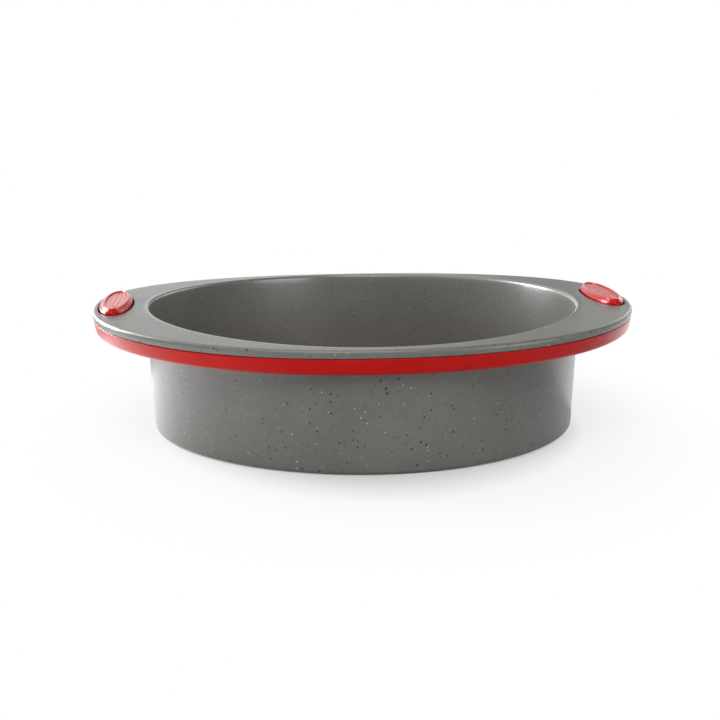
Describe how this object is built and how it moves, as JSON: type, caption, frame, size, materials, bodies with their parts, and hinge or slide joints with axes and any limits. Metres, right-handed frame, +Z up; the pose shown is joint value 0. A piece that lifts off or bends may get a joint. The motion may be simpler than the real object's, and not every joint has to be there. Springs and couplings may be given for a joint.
{
  "type": "silicone cake pan",
  "caption": "Round soft silicone cake pan with a deep flat-bottomed bowl, an oval stiffened rim that widens into ears, and raised grip badges.",
  "frame": {"origin": "middle of the base's underside, on the surface the pan stands on", "axes": "+X through the middle of the right ear, +Y towards the back of the rim, +Z up"},
  "size_m": [0.2814, 0.2394, 0.0668],
  "materials": {
    "speckled_silicone": "satin, grey with fine black and white specks",
    "band_silicone": "satin red",
    "hoop_steel": "drawn wire",
    "badge_silicone": "satin red"
  },
  "bodies": {
    "root": {"pan_body": "speckled_silicone", "rim_band": "band_silicone", "rim_hoop": "hoop_steel", "left_grip_badge": "badge_silicone", "right_grip_badge": "badge_silicone"}
  },
  "joints": []
}
